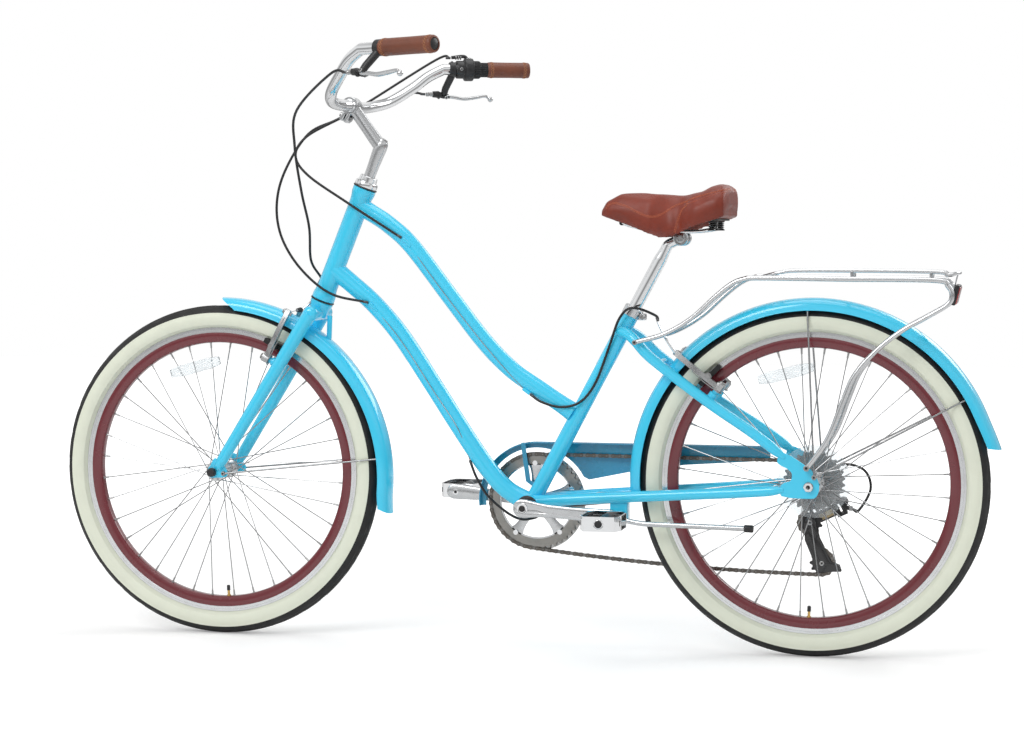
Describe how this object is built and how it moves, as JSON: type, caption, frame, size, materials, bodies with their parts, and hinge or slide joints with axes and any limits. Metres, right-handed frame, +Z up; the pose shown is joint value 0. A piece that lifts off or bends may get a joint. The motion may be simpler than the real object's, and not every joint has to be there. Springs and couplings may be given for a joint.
{
  "type": "step-through hybrid bicycle",
  "caption": "Step-through bicycle with two curved front tubes, swept bar, fenders, rear rack, rim brakes, chain guard, rear derailleur and folding side stand.",
  "frame": {"origin": "on the ground under the middle of the bicycle", "axes": "+Z up, +X towards the rear wheel, +Y towards the drive side (the rider's right)"},
  "size_m": [1.863, 0.7612, 1.1714],
  "materials": {
    "blue_paint": "glossy",
    "dark_blue_paint": "glossy",
    "chrome_metal": "polished",
    "silver_metal": "satin",
    "black_plastic": "matte",
    "black_housing": "semi-gloss",
    "dark_steel": "satin",
    "brown_leather": "satin",
    "tyre_rubber": "matte",
    "rim_paint": "glossy",
    "clear_plastic": "glossy",
    "red_plastic": "glossy"
  },
  "bodies": {
    "frame": {"frame": "blue_paint", "headset_upper_cup": "black_plastic", "headset_lower_cup": "black_plastic", "bottom_bracket": "black_plastic", "seat_collar": "silver_metal", "rear_fender": "blue_paint", "rear_fender_stays": "silver_metal", "rack": "silver_metal", "rack_reflector": "red_plastic", "chain_guard": "dark_blue_paint", "rear_axle": "silver_metal", "derailleur_body": "black_plastic", "rear_brake_housing": "black_housing", "rear_shift_housing": "black_housing", "rear_brake_loop": "black_housing", "shift_loop": "black_housing", "chain": "dark_steel"},
    "steering": {"fork": "blue_paint", "headset_locknut": "chrome_metal", "stem": "silver_metal", "handlebar": "chrome_metal", "left_grip": "brown_leather", "right_grip": "brown_leather", "left_lever_perch": "black_plastic", "right_lever_perch": "black_plastic", "shifter_housing": "black_plastic", "front_fender": "blue_paint", "front_fender_stays": "silver_metal", "front_axle": "black_plastic", "front_brake_housing": "black_housing"},
    "front_wheel": {"front_tyre": "tyre_rubber", "front_rim": "rim_paint", "front_hub": "silver_metal", "front_wheel_reflector": "clear_plastic"},
    "rear_wheel": {"rear_tyre": "tyre_rubber", "rear_rim": "rim_paint", "rear_hub": "silver_metal", "rear_wheel_reflector": "clear_plastic", "spoke_protector": "clear_plastic"},
    "crank": {"chainwheel_crank": "silver_metal", "left_crank": "silver_metal"},
    "freewheel": {"freewheel": "dark_steel"},
    "left_pedal": {"left_pedal": "chrome_metal"},
    "right_pedal": {"right_pedal": "chrome_metal"},
    "left_brake_lever": {"left_brake_lever": "silver_metal"},
    "right_brake_lever": {"right_brake_lever": "silver_metal"},
    "front_brake_arm_left": {"front_brake_arm_left": "silver_metal"},
    "front_brake_arm_right": {"front_brake_arm_right": "silver_metal"},
    "rear_brake_arm_left": {"rear_brake_arm_left": "silver_metal"},
    "rear_brake_arm_right": {"rear_brake_arm_right": "silver_metal"},
    "shifter_grip": {"shifter_grip": "black_plastic"},
    "derailleur_link": {"derailleur_link": "black_plastic"},
    "derailleur_cage": {"derailleur_cage": "black_plastic"},
    "guide_pulley": {"guide_pulley": "black_plastic"},
    "tension_pulley": {"tension_pulley": "black_plastic"},
    "kickstand": {"kickstand": "silver_metal"},
    "seatpost": {"seatpost": "chrome_metal"},
    "saddle": {"saddle": "brown_leather", "saddle_base": "black_plastic", "saddle_frame": "silver_metal"}
  },
  "joints": [
    {"name": "steering_turn", "type": "hinge", "parent": "frame", "child": "steering", "pos_m": [-0.38579, 0, 0.6724], "axis": [0.3762, 0, 0.9265], "range_deg": [-60, 60], "deforming": ["rear_brake_loop", "shift_loop"]},
    {"name": "front_wheel_spin", "type": "hinge", "parent": "steering", "child": "front_wheel", "pos_m": [-0.60149, 0, 0.33], "axis": [0, 1, 0], "continuous": true},
    {"name": "rear_wheel_spin", "type": "hinge", "parent": "frame", "child": "rear_wheel", "pos_m": [0.58251, 0, 0.33], "axis": [0, 1, 0], "continuous": true},
    {"name": "crank_spin", "type": "hinge", "parent": "frame", "child": "crank", "pos_m": [0.03651, 0, 0.276], "axis": [0, 1, 0], "continuous": true},
    {"name": "freewheel_spin", "type": "hinge", "parent": "frame", "child": "freewheel", "pos_m": [0.58251, 0, 0.33], "axis": [0, 1, 0], "continuous": true},
    {"name": "left_pedal_spin", "type": "hinge", "parent": "crank", "child": "left_pedal", "pos_m": [0.20605, -0.084, 0.26355], "axis": [0, 1, 0], "continuous": true},
    {"name": "right_pedal_spin", "type": "hinge", "parent": "crank", "child": "right_pedal", "pos_m": [-0.13303, 0.084, 0.28845], "axis": [0, 1, 0], "continuous": true},
    {"name": "left_lever_pull", "type": "hinge", "parent": "steering", "child": "left_brake_lever", "pos_m": [-0.19634, -0.32945, 1.09308], "axis": [-0.3648, -0.7221, 0.5878], "range_deg": [0, 12], "stiffness_Nm_per_rad": 0.4},
    {"name": "right_lever_pull", "type": "hinge", "parent": "steering", "child": "right_brake_lever", "pos_m": [-0.21566, 0.30583, 1.08622], "axis": [0.418, -0.8276, -0.3746], "range_deg": [0, 12], "stiffness_Nm_per_rad": 0.4},
    {"name": "front_brake_arm_left_swing", "type": "hinge", "parent": "steering", "child": "front_brake_arm_left", "pos_m": [-0.48999, -0.04, 0.557], "axis": [-0.8965, 0, 0.4431], "range_deg": [0, 2.3]},
    {"name": "front_brake_arm_right_swing", "type": "hinge", "parent": "steering", "child": "front_brake_arm_right", "pos_m": [-0.48999, 0.04, 0.557], "axis": [0.8965, 0, -0.4431], "range_deg": [0, 2.3], "deforming": ["front_brake_housing"]},
    {"name": "rear_brake_arm_left_swing", "type": "hinge", "parent": "frame", "child": "rear_brake_arm_left", "pos_m": [0.40981, -0.04, 0.5108], "axis": [-0.6184, 0, -0.7859], "range_deg": [0, 2.3], "deforming": ["rear_brake_housing"]},
    {"name": "rear_brake_arm_right_swing", "type": "hinge", "parent": "frame", "child": "rear_brake_arm_right", "pos_m": [0.40981, 0.04, 0.5108], "axis": [0.6184, 0, 0.7859], "range_deg": [0, 2.3]},
    {"name": "shifter_twist", "type": "hinge", "parent": "steering", "child": "shifter_grip", "pos_m": [-0.1582, 0.31051, 1.14], "axis": [0.8926, 0.4509, 0], "range_deg": [-68, 34]},
    {"name": "derailleur_link_swing", "type": "hinge", "parent": "frame", "child": "derailleur_link", "pos_m": [0.62351, 0.069, 0.274], "axis": [0.4179, 0.2419, -0.8757], "range_deg": [-22.4, 11.2], "deforming": ["chain"]},
    {"name": "derailleur_cage_swing", "type": "hinge", "parent": "derailleur_link", "child": "derailleur_cage", "pos_m": [0.57351, 0.0477, 0.249], "axis": [0, 1, 0], "range_deg": [-15, 30], "stiffness_Nm_per_rad": 0.3, "deforming": ["chain"]},
    {"name": "guide_pulley_spin", "type": "hinge", "parent": "derailleur_cage", "child": "guide_pulley", "pos_m": [0.57351, 0.0477, 0.249], "axis": [0, 1, 0], "continuous": true},
    {"name": "tension_pulley_spin", "type": "hinge", "parent": "derailleur_cage", "child": "tension_pulley", "pos_m": [0.59621, 0.0477, 0.1714], "axis": [0, 1, 0], "continuous": true},
    {"name": "kickstand_swing", "type": "hinge", "parent": "frame", "child": "kickstand", "pos_m": [0.22401, -0.048, 0.258], "axis": [0, 1, 0], "range_deg": [0, 85]},
    {"name": "seatpost_slide", "type": "slide", "parent": "frame", "child": "seatpost", "axis": [0.472, 0, 0.8816], "range_m": [-0.05, 0.04]},
    {"name": "saddle_tilt", "type": "hinge", "parent": "seatpost", "child": "saddle", "pos_m": [0.33351, 0, 0.7917], "axis": [0, 1, 0], "range_deg": [-12, 12]}
  ],
  "couplings": [
    {"joint": "freewheel_spin", "follows": "crank_spin", "ratio": 2.5556},
    {"joint": "guide_pulley_spin", "follows": "crank_spin", "ratio": -4.1818},
    {"joint": "tension_pulley_spin", "follows": "crank_spin", "ratio": 4.1818},
    {"joint": "front_brake_arm_left_swing", "follows": "left_lever_pull", "ratio": 0.19167},
    {"joint": "front_brake_arm_right_swing", "follows": "left_lever_pull", "ratio": 0.19167},
    {"joint": "rear_brake_arm_left_swing", "follows": "right_lever_pull", "ratio": 0.19167},
    {"joint": "rear_brake_arm_right_swing", "follows": "right_lever_pull", "ratio": 0.19167},
    {"joint": "derailleur_link_swing", "follows": "shifter_twist", "ratio": 0.32941}
  ]
}
